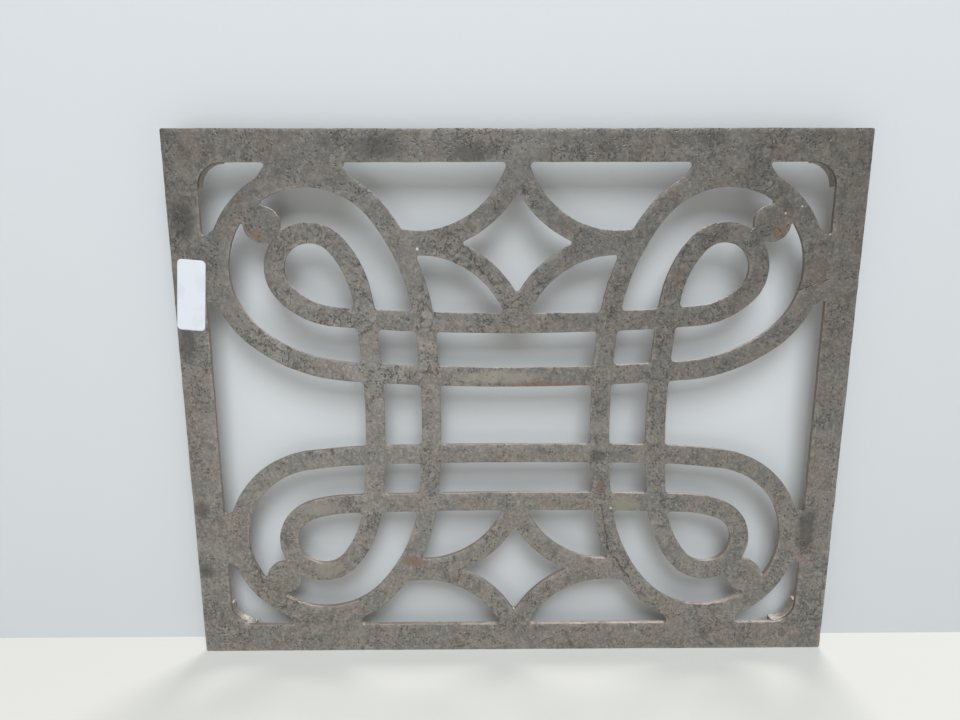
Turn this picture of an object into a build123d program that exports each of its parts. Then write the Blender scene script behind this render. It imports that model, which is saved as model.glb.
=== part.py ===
from build123d import *
import os
from dataclasses import dataclass
from math import acos, atan2, degrees, hypot

# A flat fret-cut cast-iron air grille, standing upright: X runs across it, Z up it, and its face looks to -Y.
# The origin is the plate's centre, in the plane of its flat back, which is the seat. All sizes are in millimetres.

# Plate
PLATE_WIDTH = 304.8
PLATE_HEIGHT = 247.7
PLATE_THICKNESS = 3.2
BORDER_WIDTH = 14.3
PLATE_CORNER_RADIUS = 0.8
OPENING_CORNER_RADIUS = 10.4

# Strapwork
STRAP_WIDTH = 9.3
UPRIGHT_BOW_RADIUS = 380.0
UPRIGHT_MIDDLE_Z = -3.2
INNER_UPRIGHT_X = 38.9
OUTER_UPRIGHT_X = 64.9
ARC_RADIUS = 45.65
ARC_CENTRE_X = 44.0
ARC_CENTRE_RISE = 46.5
ARC_END_X = 54.0
BOSS_RADIUS = 8.3
WEB_REACH = 6.5

# Rounded corners of the openings, smallest last: each corner takes the first that takes off no more than this area,
# so a sharp cusp is rounded less than a square corner
CORNER_RADII = (1.4, 1.0, 0.7, 0.5, 0.3)
MOST_TAKEN_OFF = 1.0

# Limits: slivers under this area are no openings, points this close are one, and a smaller turn is no corner
SMALLEST_OPENING = 20.0
CLOSE = 0.001
SMOOTH_TURN = 2.0

# Lugs on the back, one behind each corner of the border
LUG_THICKNESS = 3.0
LUG_HEIGHT = 3.8

# Paper stock label on the border
LABEL_WIDTH = 12.5
LABEL_LENGTH = 31.5
LABEL_THICKNESS = 0.15
LABEL_CORNER_RADIUS = 2.0
LABEL_X = -144.6
LABEL_Z = 52.8
LABEL_TILT = -5.0

# Worked out from the sizes above
OPENING_WIDTH = PLATE_WIDTH - 2 * BORDER_WIDTH
OPENING_HEIGHT = PLATE_HEIGHT - 2 * BORDER_WIDTH


@dataclass
class Loop:
    """One loop of strap in a corner: its round end, and the blends that lead it into an upright and a bar."""

    centre_x: float
    centre_z: float
    radius: float
    upright_blend: float
    bar_blend: float
    bar_z: float


@dataclass
class Half:
    """The upper or the lower half of the strapwork, with heights counted outwards from the plate's centre."""

    outer_loop: Loop
    inner_loop: Loop
    bar_bow_radius: float
    diamond_z: float
    side_web_half: float
    end_web_half: float
    web_flare: float


UPPER = Half(
    outer_loop=Loop(92.2, 64.2, 39.6, upright_blend=99.0, bar_blend=72.0, bar_z=15.0),
    inner_loop=Loop(91.6, 64.2, 15.8, upright_blend=48.0, bar_blend=33.0, bar_z=39.8),
    bar_bow_radius=1040.0,
    diamond_z=75.5,
    side_web_half=13.6,
    end_web_half=16.2,
    web_flare=4.8,
)
LOWER = Half(
    outer_loop=Loop(91.7, 64.4, 40.0, upright_blend=80.0, bar_blend=290.0, bar_z=21.4),
    inner_loop=Loop(91.8, 65.1, 16.2, upright_blend=52.0, bar_blend=55.0, bar_z=45.4),
    bar_bow_radius=2600.0,
    diamond_z=80.5,
    side_web_half=12.2,
    end_web_half=16.2,
    web_flare=3.2,
)


def arc(centre, start, end, clockwise):
    """An arc about a centre, from a point on it to another."""
    radius = hypot(start[0] - centre[0], start[1] - centre[1])
    start_angle = degrees(atan2(start[1] - centre[1], start[0] - centre[0]))
    end_angle = degrees(atan2(end[1] - centre[1], end[0] - centre[0]))
    sweep = (end_angle - start_angle) % 360
    return CenterArc(centre, radius, start_angle, sweep - 360 if clockwise else sweep)


def pushed(centre, through, radius):
    """The point at a radius from a centre, on the ray from it through another point."""
    ray = Vector(*through) - Vector(*centre)
    return tuple(Vector(*centre) + ray.normalized() * radius)[:2]


def blend_centre(loop_centre, loop_radius, bow_centre, bow_radius, blend_radius, left):
    """The centre of the blend that holds the loop's round end and lies in the bow's circle, touching both."""
    to_loop = blend_radius - loop_radius
    to_bow = bow_radius - blend_radius
    line = Vector(*bow_centre) - Vector(*loop_centre)
    distance = line.length
    turn = degrees(acos((to_loop**2 + distance**2 - to_bow**2) / (2 * distance * to_loop)))
    ray = line.normalized().rotate(Axis.Z, turn if left else -turn)
    return tuple(Vector(*loop_centre) + ray * to_loop)[:2]


def loop_run(loop, upright_x, upright_z, bar_bow_radius):
    """The middle line of a strap: up an upright, round the corner loop and back along a bar, all tangent arcs."""
    centre = (loop.centre_x, loop.centre_z)
    upright_bow = (upright_x + UPRIGHT_BOW_RADIUS, upright_z)
    bar_bow = (0, loop.bar_z + bar_bow_radius)
    rise = blend_centre(centre, loop.radius, upright_bow, UPRIGHT_BOW_RADIUS, loop.upright_blend, left=False)
    fall = blend_centre(centre, loop.radius, bar_bow, bar_bow_radius, loop.bar_blend, left=True)
    leaves_upright = pushed(upright_bow, rise, UPRIGHT_BOW_RADIUS)
    enters_loop = pushed(rise, centre, loop.upright_blend)
    leaves_loop = pushed(fall, centre, loop.bar_blend)
    enters_bar = pushed(bar_bow, fall, bar_bow_radius)
    return [
        arc(upright_bow, (upright_x, upright_z), leaves_upright, clockwise=True),
        arc(rise, leaves_upright, enters_loop, clockwise=True),
        arc(centre, enters_loop, leaves_loop, clockwise=True),
        arc(fall, leaves_loop, enters_bar, clockwise=True),
        arc(bar_bow, enters_bar, (0, loop.bar_z), clockwise=True),
    ]


def diamond_arcs(diamond_z):
    """The two arcs that bound the diamond on one side, from the centre line out to the outer loop."""
    arcs = []
    for rise in (-ARC_CENTRE_RISE, ARC_CENTRE_RISE):
        centre = (ARC_CENTRE_X, diamond_z + rise)
        side = 1 if rise < 0 else -1
        at_middle = (0, centre[1] + side * (ARC_RADIUS**2 - ARC_CENTRE_X**2) ** 0.5)
        at_end = (ARC_END_X, centre[1] + side * (ARC_RADIUS**2 - (ARC_END_X - ARC_CENTRE_X) ** 2) ** 0.5)
        arcs.append(arc(centre, at_middle, at_end, clockwise=side > 0))
    return arcs


def web(half_width, flare):
    """A web's outline on the origin, with its narrow side on the border, in line with X, and flaring to the loop."""
    wide = half_width + flare
    return Polygon((-half_width, 0), (-wide, -WEB_REACH), (wide, -WEB_REACH), (half_width, 0), align=None)


def quarter_metal(half, upright_z):
    """The metal inside the border in one quarter: straps, boss, and the webs that tie the outer loop to the border."""
    outer = half.outer_loop
    inner = half.inner_loop
    middle_lines = loop_run(outer, INNER_UPRIGHT_X, upright_z, half.bar_bow_radius)
    middle_lines += loop_run(inner, OUTER_UPRIGHT_X, upright_z, half.bar_bow_radius)
    middle_lines += diamond_arcs(half.diamond_z)
    straps = [trace(edge, STRAP_WIDTH) for edge in middle_lines]
    boss_out = (outer.radius + inner.radius) / 2 * 0.5**0.5
    boss = Pos(outer.centre_x + boss_out, outer.centre_z + boss_out) * Circle(BOSS_RADIUS)
    side_web = Pos(OPENING_WIDTH / 2, outer.centre_z) * Rot(0, 0, -90) * web(half.side_web_half, half.web_flare)
    end_web = Pos(outer.centre_x, OPENING_HEIGHT / 2) * web(half.end_web_half, half.web_flare)
    return straps + [boss, side_web, end_web]


def is_corner(outline, point):
    """Whether the two edges of the outline that meet at the point differ in direction there."""
    first, second = [edge for edge in outline.edges() if edge.distance_to(point) < CLOSE]
    turn = first.tangent_at(point).get_angle(second.tangent_at(point))
    return SMOOTH_TURN < turn < 180 - SMOOTH_TURN


def rounded(opening):
    """The opening with each of its corners rounded by the largest of the corner radii that suits it."""
    corners = [vertex.center() for vertex in opening.vertices() if is_corner(opening, vertex.center())]
    for corner in corners:
        for radius in CORNER_RADII:
            vertex = opening.vertices().sort_by_distance(corner)[0]
            try:
                trial = opening.fillet_2d(radius, [vertex])
            except (ValueError, RuntimeError):
                continue
            if trial.is_valid and 0 < opening.area - trial.area < MOST_TAKEN_OFF:
                opening = trial
                break
    return opening


def strapwork():
    """All the metal inside the border, as one flat figure: the right side's two quarters and their mirror image."""
    upper = quarter_metal(UPPER, UPRIGHT_MIDDLE_Z)
    lower = [mirror(piece, about=Plane.XZ) for piece in quarter_metal(LOWER, -UPRIGHT_MIDDLE_Z)]
    right = upper + lower
    left = [mirror(piece, about=Plane.YZ) for piece in right]
    return Sketch() + right + left


def grille_plate():
    """The casting: the plate with every opening of the fret cut through it."""
    border_opening = RectangleRounded(OPENING_WIDTH, OPENING_HEIGHT, OPENING_CORNER_RADIUS)
    openings = [face for face in (border_opening - strapwork()).faces() if face.area > SMALLEST_OPENING]
    on_left = [rounded(face) for face in openings if face.bounding_box().max.X < 0]
    in_middle = [rounded(face) for face in openings if face.bounding_box().min.X < 0 < face.bounding_box().max.X]
    on_right = [mirror(face, about=Plane.YZ) for face in on_left]
    outline = RectangleRounded(PLATE_WIDTH, PLATE_HEIGHT, PLATE_CORNER_RADIUS) - on_left - in_middle - on_right
    return extrude(Plane.XZ * outline, PLATE_THICKNESS)


def corner_lug(side, end):
    """A quarter ring on the back, flush with the border's opening where it turns one corner."""
    ring = Circle(OPENING_CORNER_RADIUS + LUG_THICKNESS) - Circle(OPENING_CORNER_RADIUS)
    reach = OPENING_CORNER_RADIUS + LUG_THICKNESS
    quarter = ring & Pos(side * reach / 2, end * reach / 2) * Rectangle(reach, reach)
    centre_x = side * (OPENING_WIDTH / 2 - OPENING_CORNER_RADIUS)
    centre_z = end * (OPENING_HEIGHT / 2 - OPENING_CORNER_RADIUS)
    return extrude(Plane.XZ * Pos(centre_x, centre_z) * quarter, -LUG_HEIGHT)


def stock_label():
    """The blank paper label, stuck a little askew on the face of the left border."""
    outline = RectangleRounded(LABEL_WIDTH, LABEL_LENGTH, LABEL_CORNER_RADIUS)
    face = Plane.XZ.offset(PLATE_THICKNESS)
    return extrude(face * Pos(LABEL_X, LABEL_Z) * Rot(0, 0, LABEL_TILT) * outline, LABEL_THICKNESS)


nodes = {"grille_plate": grille_plate(), "stock_label": stock_label()}
for end_name, end in (("upper", 1), ("lower", -1)):
    for side_name, side in (("left", -1), ("right", 1)):
        nodes[f"corner_lug_{end_name}_{side_name}"] = corner_lug(side, end)

os.makedirs("parts", exist_ok=True)
for name, solid in nodes.items():
    solid.label = name
    export_step(solid, f"parts/{name}.step")
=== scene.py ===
"""The looks of a one-piece cast-iron air grille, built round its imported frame.

The casting is worked out again from the frame's own outlines. Its arrises are rounded, its faces and edges are as
uneven as sand leaves them, and four curved lugs stand on its back. A blank paper label lies on its left border.
Lengths are in metres, in the frame's axes: X across the plate, Z up it, and -Y out of its face.
"""

import logging
import math
from dataclasses import dataclass, field
from enum import Enum

import bpy
import numpy as np
from mathutils import Euler, Matrix, Vector
from mathutils.geometry import delaunay_2d_cdt


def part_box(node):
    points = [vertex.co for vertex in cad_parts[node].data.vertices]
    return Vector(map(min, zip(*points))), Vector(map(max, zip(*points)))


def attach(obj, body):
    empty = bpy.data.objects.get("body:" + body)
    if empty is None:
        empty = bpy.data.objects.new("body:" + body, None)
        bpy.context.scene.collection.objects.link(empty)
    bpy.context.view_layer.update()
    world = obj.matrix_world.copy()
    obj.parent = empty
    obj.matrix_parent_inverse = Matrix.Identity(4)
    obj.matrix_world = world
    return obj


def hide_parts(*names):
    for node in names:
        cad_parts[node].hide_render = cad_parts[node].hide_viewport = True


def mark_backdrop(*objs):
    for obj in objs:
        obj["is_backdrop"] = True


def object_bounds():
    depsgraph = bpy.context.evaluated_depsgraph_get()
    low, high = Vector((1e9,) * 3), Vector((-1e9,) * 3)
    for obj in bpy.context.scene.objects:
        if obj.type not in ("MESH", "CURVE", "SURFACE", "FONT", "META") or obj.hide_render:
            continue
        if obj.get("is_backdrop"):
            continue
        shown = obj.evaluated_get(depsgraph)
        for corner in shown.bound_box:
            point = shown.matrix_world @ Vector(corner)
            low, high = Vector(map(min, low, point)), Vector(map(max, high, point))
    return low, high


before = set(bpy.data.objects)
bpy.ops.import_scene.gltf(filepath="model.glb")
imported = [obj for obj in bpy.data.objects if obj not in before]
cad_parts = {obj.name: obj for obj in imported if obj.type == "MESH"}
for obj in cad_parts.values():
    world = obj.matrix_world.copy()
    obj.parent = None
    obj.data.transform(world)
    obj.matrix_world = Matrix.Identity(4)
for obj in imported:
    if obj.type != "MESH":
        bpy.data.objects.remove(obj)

MM = 0.001
BODY = "root"
LOG = logging.getLogger("grille")

Colour = tuple[float, float, float]
Spot = tuple[float, float]

HASH_PRIMES = np.array([73856093, 19349663, 83492791])
HASH_SEED = 668265263
HASH_FOLDS = ((13, 1274126177), (15, 2246822519))
LOW_32_BITS = 0xFFFFFFFF


# Shared arithmetic


def hashed(cells: np.ndarray, seed: int) -> np.ndarray:
    """One repeatable random number for each lattice cell, by multiplying and folding its whole numbers.

    Args:
        cells: Lattice places, as an (n, 3) array of whole numbers.
        seed: Picks one set of numbers among many.

    Returns:
        Values from -1 to 1, one for each cell.
    """
    mixed = cells @ HASH_PRIMES + seed * HASH_SEED
    for shift, factor in HASH_FOLDS:
        mixed = ((mixed ^ (mixed >> shift)) * factor) & LOW_32_BITS
    return (mixed ^ (mixed >> 16)) / 2**31 - 1


def value_noise(points: np.ndarray, cell: float, seed: int) -> np.ndarray:
    """Smooth random values: the eight lattice values round each point, blended by a fifth-degree ease.

    Args:
        points: Places, as an (n, 3) array in metres.
        cell: The lattice's spacing in metres.
        seed: Picks one lattice among many.

    Returns:
        Values from -1 to 1, one for each point.
    """
    place = points / cell
    corner = np.floor(place).astype(np.int64)
    share = place - corner
    ease = share**3 * (share * (share * 6 - 15) + 10)
    total = np.zeros(len(points))
    for step in np.ndindex(2, 2, 2):
        weight = np.prod(np.where(step, ease, 1 - ease), axis=1)
        total += weight * hashed(corner + np.array(step), seed)
    return total


@dataclass(frozen=True)
class Unevenness:
    """How far a cast surface falls short of its nominal place, as a sum of value noises."""

    depths: tuple[float, ...]
    cells: tuple[float, ...]
    seed: int

    def at(self, points: np.ndarray) -> np.ndarray:
        """The shortfall in metres at each point, from nought to the sum of the depths."""
        waves = zip(self.depths, self.cells)
        return sum(
            depth * (0.5 + 0.5 * value_noise(points, cell, self.seed + turn))
            for turn, (depth, cell) in enumerate(waves)
        )


def smooth_step(value: np.ndarray) -> np.ndarray:
    """Eases values from 0 to 1 by the cubic 3v^2 - 2v^3, and holds them level outside."""
    held = np.clip(value, 0, 1)
    return held * held * (3 - 2 * held)


def upright(flat: np.ndarray, level: float | np.ndarray = 0.0) -> np.ndarray:
    """Stands points that are given as X and Z upright, at a Y."""
    return np.column_stack([flat[:, 0], np.zeros(len(flat)) + level, flat[:, 1]])


# Meshes


@dataclass
class Surface:
    """Points and faces that are put together as arrays before they become a mesh."""

    points: np.ndarray
    faces: list[np.ndarray]
    masks: dict[str, np.ndarray] = field(default_factory=dict)

    def volume(self) -> float:
        """The volume inside, with a minus sign if the faces point inwards: the sum of a x b . c over fans of faces."""
        total = 0.0
        for block in self.faces:
            for turn in range(1, block.shape[1] - 1):
                a, b, c = (self.points[block[:, k]] for k in (0, turn, turn + 1))
                total += float(np.einsum("ij,ij->", np.cross(a, b), c)) / 6
        return total

    def facing_out(self) -> "Surface":
        """The same surface with its faces pointing outwards."""
        if self.volume() >= 0:
            return self
        return Surface(self.points, [block[:, ::-1] for block in self.faces], self.masks)

    def piece(self, name: str) -> bpy.types.Object:
        """Makes the mesh object, smooth shaded, with each mask as a point attribute.

        Args:
            name: The piece's name.

        Returns:
            The new object, at the origin.
        """
        mesh = bpy.data.meshes.new(name)
        faces = [face for block in self.faces for face in block.tolist()]
        mesh.from_pydata(self.points.tolist(), [], faces)
        mesh.polygons.foreach_set("use_smooth", np.ones(len(faces), bool))
        for mask, values in self.masks.items():
            mesh.attributes.new(mask, "FLOAT", "POINT").data.foreach_set("value", values.astype(np.float32))
        mesh.update()
        piece = bpy.data.objects.new(name, mesh)
        bpy.context.scene.collection.objects.link(piece)
        return piece


def grid_faces(rows: int, columns: int, start: int = 0, wrap_rows: bool = False) -> np.ndarray:
    """The quads of a grid whose points are numbered along its columns first.

    Args:
        rows: How many rows of points there are.
        columns: How many points each row has.
        start: The first point's number.
        wrap_rows: Whether the last row joins the first.

    Returns:
        One row of four point numbers for each quad.
    """
    row = np.arange(rows if wrap_rows else rows - 1)
    column = np.arange(columns - 1)
    here = row[:, None] * columns + column[None, :]
    below = ((row + 1) % rows)[:, None] * columns + column[None, :]
    quads = np.stack([here, below, below + 1, here + 1], axis=-1)
    return quads.reshape(-1, 4) + start


# Outlines of the casting


@dataclass
class Outline:
    """A closed outline in the plate's plane, as X and Z, with the metal on its left."""

    points: np.ndarray

    def resampled(self, spacing: float) -> "Outline":
        """The same outline with points at even steps along it.

        Args:
            spacing: The step aimed at, in metres.

        Returns:
            The new outline.
        """
        closed = np.vstack([self.points, self.points[:1]])
        run = np.concatenate([[0.0], np.cumsum(np.linalg.norm(np.diff(closed, axis=0), axis=1))])
        stations = np.linspace(0, run[-1], max(24, round(run[-1] / spacing)), endpoint=False)
        return Outline(np.column_stack([np.interp(stations, run, closed[:, k]) for k in (0, 1)]))

    def relaxed(self, width: float) -> "Outline":
        """The outline with its facets and sharp turns softened, by a Gaussian low pass of its Fourier series.

        Args:
            width: The Gaussian's standard deviation along the outline, in metres.

        Returns:
            The new outline.
        """
        step = float(np.linalg.norm(np.diff(self.points, axis=0), axis=1).mean())
        pitch = np.fft.fftfreq(len(self.points), step)
        series = np.fft.fft(self.points[:, 0] + 1j * self.points[:, 1])
        soft = np.fft.ifft(series * np.exp(-2 * (math.pi * pitch * width) ** 2))
        return Outline(np.column_stack([soft.real, soft.imag]))

    def inward(self) -> np.ndarray:
        """Unit vectors into the metal: each point's chord between its neighbours, turned a quarter to the left."""
        chord = np.roll(self.points, -1, axis=0) - np.roll(self.points, 1, axis=0)
        chord /= np.linalg.norm(chord, axis=1, keepdims=True)
        return np.column_stack([-chord[:, 1], chord[:, 0]])


def rings_of(starts: np.ndarray, ends: np.ndarray) -> list[np.ndarray]:
    """Puts directed edges that form closed rings in order, by doubling each edge's jump along its ring.

    Args:
        starts: The point where each edge starts.
        ends: The point where each edge ends.

    Returns:
        The point numbers of each ring, in order.
    """
    edges = np.arange(len(starts))
    order = np.argsort(starts)
    follower = order[np.searchsorted(starts, ends, sorter=order)]
    doublings = range(len(starts).bit_length())
    head, jump = edges.copy(), follower.copy()
    for _ in doublings:
        head = np.minimum(head, head[jump])
        jump = jump[jump]
    to_go = (head != edges).astype(int)
    jump = np.where(head == edges, edges, follower)
    for _ in doublings:
        to_go = to_go + to_go[jump]
        jump = jump[jump]
    to_go[head == edges] = len(edges)
    ordered = np.lexsort((-to_go, head))
    cuts = np.flatnonzero(np.diff(head[ordered])) + 1
    return [starts[ring] for ring in np.split(ordered, cuts)]


def outlines_of(node: str) -> list[Outline]:
    """The outlines of a flat plate's face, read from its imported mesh: the edges that only one face triangle has.

    Args:
        node: The plate's node.

    Returns:
        The outer outline and one for each opening, in no set order.
    """
    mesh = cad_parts[node].data
    mesh.calc_loop_triangles()
    corners = np.empty(len(mesh.vertices) * 3)
    mesh.vertices.foreach_get("co", corners)
    triangles = np.empty(len(mesh.loop_triangles) * 3, int)
    mesh.loop_triangles.foreach_get("vertices", triangles)
    grain = 1e-6
    whole = np.round(corners.reshape(-1, 3) / grain).astype(np.int64)
    merged, index = np.unique(whole, axis=0, return_inverse=True)
    triangles = index.reshape(-1)[triangles].reshape(-1, 3)
    on_face = merged[:, 1] <= merged[:, 1].min() + 1
    face = triangles[on_face[triangles].all(axis=1)]
    edges = face[:, [0, 1, 1, 2, 2, 0]].reshape(-1, 2)
    here = edges[:, 0] * len(merged) + edges[:, 1]
    back = edges[:, 1] * len(merged) + edges[:, 0]
    rim = edges[~np.isin(here, back)]
    return [Outline(merged[ring][:, [0, 2]] * grain) for ring in rings_of(rim[:, 0], rim[:, 1])]


def crossings(rims: list[np.ndarray], level: float) -> np.ndarray:
    """Where a level line crosses closed outlines, from left to right.

    Args:
        rims: The outlines' points.
        level: The line's height.

    Returns:
        The X of each crossing.
    """
    found = []
    for rim in rims:
        ahead = np.roll(rim, -1, axis=0)
        cut = (rim[:, 1] > level) != (ahead[:, 1] > level)
        share = (level - rim[cut, 1]) / (ahead[cut, 1] - rim[cut, 1])
        found.append(rim[cut, 0] + share * (ahead[cut, 0] - rim[cut, 0]))
    return np.sort(np.concatenate(found))


def inside(rims: list[np.ndarray], points: np.ndarray) -> np.ndarray:
    """Whether each point lies in the metal: an odd number of outline edges lie to its right.

    Args:
        rims: The outlines' points.
        points: The points to test.

    Returns:
        One truth value for each point.
    """
    start = np.vstack(rims)
    end = np.vstack([np.roll(rim, -1, axis=0) for rim in rims])
    held = np.zeros(len(points), bool)
    batch = 1000
    for first in range(0, len(points), batch):
        x, z = points[first : first + batch, :, None].transpose(1, 0, 2)
        spans = (start[:, 1] > z) != (end[:, 1] > z)
        rise = np.where(spans, end[:, 1] - start[:, 1], 1)
        across = start[:, 0] + (z - start[:, 1]) / rise * (end[:, 0] - start[:, 0])
        held[first : first + batch] = (spans & (across > x)).sum(axis=1) % 2 == 1
    return held


def distance_to(rims: list[np.ndarray], points: np.ndarray) -> np.ndarray:
    """Each point's distance to the nearest outline point.

    Args:
        rims: The outlines' points.
        points: The points to measure from.

    Returns:
        One distance in metres for each point.
    """
    targets = np.vstack(rims)
    nearest = np.empty(len(points))
    batch = 500
    for first in range(0, len(points), batch):
        gap = points[first : first + batch, None, :] - targets[None, :, :]
        nearest[first : first + batch] = np.sqrt((gap**2).sum(axis=2).min(axis=1))
    return nearest


RIM_CLEARANCE = 0.62
SAME_POINT = 1e-6


@dataclass
class Flat:
    """A flat filled with triangles: its rims' points come first, then the lattice points inside."""

    points: np.ndarray
    triangles: np.ndarray
    rim_distance: np.ndarray


def filled(rims: list[np.ndarray], spacing: float) -> Flat:
    """Fills the metal between outlines with near-equilateral triangles.

    The inner points are a hexagonal lattice that stays clear of the rims. A constrained Delaunay triangulation joins
    them to the rims. Triangles that only touch rims are kept if their middle lies in the metal.

    Args:
        rims: The outlines' points.
        spacing: The lattice's spacing in metres.

    Returns:
        The filled flat.
    """
    rim_points = np.vstack(rims)
    low, high = rim_points.min(axis=0), rim_points.max(axis=0)
    rows = []
    for turn, level in enumerate(np.arange(low[1], high[1], spacing * math.sqrt(0.75))):
        along = np.arange(low[0] + (turn % 2) * spacing / 2, high[0], spacing)
        in_metal = np.searchsorted(crossings(rims, level), along) % 2 == 1
        rows.append(np.column_stack([along[in_metal], np.full(in_metal.sum(), level)]))
    lattice = np.vstack(rows)
    gap = distance_to(rims, lattice)
    clear = gap > RIM_CLEARANCE * spacing
    lattice, gap = lattice[clear], gap[clear]
    points = np.vstack([rim_points, lattice])
    firsts = np.cumsum([0] + [len(rim) for rim in rims])
    edges = [
        (int(first + k), int(first + (k + 1) % len(rim)))
        for first, rim in zip(firsts, rims)
        for k in range(len(rim))
    ]
    flat_points = [Vector(point) for point in (points / MM).tolist()]
    made = delaunay_2d_cdt(flat_points, edges, [], 0, SAME_POINT)
    source = np.array([held[0] for held in made[3]])
    triangles = source[np.array(made[2])]
    on_rim = (triangles < len(rim_points)).all(axis=1)
    middles = points[triangles[on_rim]].mean(axis=1)
    kept = np.ones(len(triangles), bool)
    kept[on_rim] = inside(rims, middles)
    triangles = triangles[kept]
    a, b, c = (points[triangles[:, k]] for k in range(3))
    area = (b[:, 0] - a[:, 0]) * (c[:, 1] - a[:, 1]) - (b[:, 1] - a[:, 1]) * (c[:, 0] - a[:, 0])
    triangles[area < 0] = triangles[area < 0][:, ::-1]
    return Flat(points, triangles, np.concatenate([np.zeros(len(rim_points)), gap]))


# Shader building

Wire = bpy.types.NodeSocket | float | tuple

# A Mix node's sockets for colours
MIX_SHARE, MIX_UNDER, MIX_OVER, MIX_RESULT = 0, 6, 7, 2


class Board:
    """Adds shader nodes to one node tree and wires each as it goes in."""

    def __init__(self, tree: bpy.types.NodeTree) -> None:
        """Keeps the tree that the nodes go into."""
        self.tree = tree

    def add(self, kind: str, inputs: dict[str | int, Wire], **settings: object) -> bpy.types.Node:
        """Adds one node.

        Args:
            kind: The node's type, without its "ShaderNode" prefix.
            inputs: A socket to link or a value to set, by input name or number.
            **settings: The node's own settings.

        Returns:
            The node.
        """
        node = self.tree.nodes.new("ShaderNode" + kind)
        for name, value in settings.items():
            setattr(node, name, value)
        return self.feed(node, inputs)

    def feed(self, node: bpy.types.Node, inputs: dict[str | int, Wire]) -> bpy.types.Node:
        """Links a node's inputs to sockets, or sets them to values.

        Args:
            node: The node.
            inputs: A socket to link or a value to set, by input name or number.

        Returns:
            The node.
        """
        for name, value in inputs.items():
            if isinstance(value, bpy.types.NodeSocket):
                self.tree.links.new(value, node.inputs[name])
            else:
                node.inputs[name].default_value = value
        return node

    def math(self, operation: str, first: Wire, second: Wire = 0.0, third: Wire = 0.0) -> bpy.types.NodeSocket:
        """Adds a Math node and returns its result."""
        return self.add("Math", {0: first, 1: second, 2: third}, operation=operation).outputs[0]

    def vector(self, operation: str, first: Wire, second: Wire) -> bpy.types.NodeSocket:
        """Adds a Vector Math node and returns its vector."""
        return self.add("VectorMath", {0: first, 1: second}, operation=operation).outputs[0]

    def scaled(self, vector: Wire, factor: Wire) -> bpy.types.NodeSocket:
        """Multiplies a vector by a number and returns the result."""
        return self.add("VectorMath", {0: vector, "Scale": factor}, operation="SCALE").outputs[0]

    def length(self, vector: Wire) -> bpy.types.NodeSocket:
        """Measures a vector and returns its length."""
        return self.add("VectorMath", {0: vector}, operation="LENGTH").outputs["Value"]

    def dot(self, first: Wire, second: Wire) -> bpy.types.NodeSocket:
        """Adds a dot product and returns it."""
        return self.add("VectorMath", {0: first, 1: second}, operation="DOT_PRODUCT").outputs["Value"]

    def ramp(self, value: Wire, low: Wire, high: Wire, start: Wire = 0.0, end: Wire = 1.0) -> bpy.types.NodeSocket:
        """Eases a value from start to end as it goes from low to high, and returns the result."""
        inputs = {"Value": value, "From Min": low, "From Max": high, "To Min": start, "To Max": end}
        return self.add("MapRange", inputs, interpolation_type="SMOOTHSTEP").outputs[0]

    def blend(self, share: Wire, under: Wire, colour: Colour) -> bpy.types.NodeSocket:
        """Lays a colour over another by a share and returns the result."""
        inputs = {MIX_SHARE: share, MIX_UNDER: under, MIX_OVER: opaque(colour)}
        return self.add("Mix", inputs, data_type="RGBA").outputs[MIX_RESULT]

    def coat(
        self, under: Wire, mask: Wire, limits: tuple[float, float], share: float, colour: Colour
    ) -> bpy.types.NodeSocket:
        """Lays a colour over another where a mask goes from one limit to the other, up to a share."""
        return self.blend(self.ramp(mask, *limits, 0.0, share), under, colour)

    def noise(self, place: Wire, cell: float, detail: float = 4.0, rough: float = 0.55) -> bpy.types.NodeSocket:
        """Adds a Noise Texture with features about one cell wide, in the place's units, and returns its value."""
        inputs = {"Vector": place, "Scale": 1 / cell, "Detail": detail, "Roughness": rough}
        return self.add("TexNoise", inputs).outputs["Fac"]

    def millimetres(self) -> bpy.types.NodeSocket:
        """Adds the place on the object, in millimetres, and returns it."""
        return self.scaled(self.add("TexCoord", {}).outputs["Object"], 1 / MM)


def opaque(colour: Colour) -> tuple[float, float, float, float]:
    """A colour with full alpha."""
    return (*colour, 1.0)


def new_material(name: str) -> tuple[bpy.types.Material, Board]:
    """Makes a material without nodes.

    Args:
        name: The material's name.

    Returns:
        The material, and a board on its node tree.
    """
    made = bpy.data.materials.new(name)
    made.use_nodes = True
    made.node_tree.nodes.clear()
    return made, Board(made.node_tree)


class Effect:
    """A shader node group with named inputs and outputs, built once and placed where it is wanted."""

    name = "effect"
    inputs: dict[str, tuple[str, float | tuple]] = {}
    outputs: tuple[str, ...] = ("Mask",)

    def __init__(self) -> None:
        """Builds the group's tree."""
        self.tree = bpy.data.node_groups.new(self.name, "ShaderNodeTree")
        for name, (kind, value) in self.inputs.items():
            socket = self.tree.interface.new_socket(name, in_out="INPUT", socket_type="NodeSocket" + kind)
            socket.default_value = value
        for name in self.outputs:
            self.tree.interface.new_socket(name, in_out="OUTPUT", socket_type="NodeSocketFloat")
        entry = self.tree.nodes.new("NodeGroupInput")
        leave = self.tree.nodes.new("NodeGroupOutput")
        results = self.build(Board(self.tree), {name: entry.outputs[name] for name in self.inputs})
        for name, result in zip(self.outputs, results):
            self.tree.links.new(result, leave.inputs[name])

    def build(self, board: Board, given: dict[str, bpy.types.NodeSocket]) -> tuple[bpy.types.NodeSocket, ...]:
        """Adds the group's nodes and returns what each output carries."""
        raise NotImplementedError

    def place(self, board: Board, inputs: dict[str, Wire]) -> bpy.types.Node:
        """Places the group in a material.

        Args:
            board: The material's board.
            inputs: A socket to link or a value to set, by input name.

        Returns:
            The group node.
        """
        return board.feed(board.add("Group", {}, node_tree=self.tree), inputs)


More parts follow.
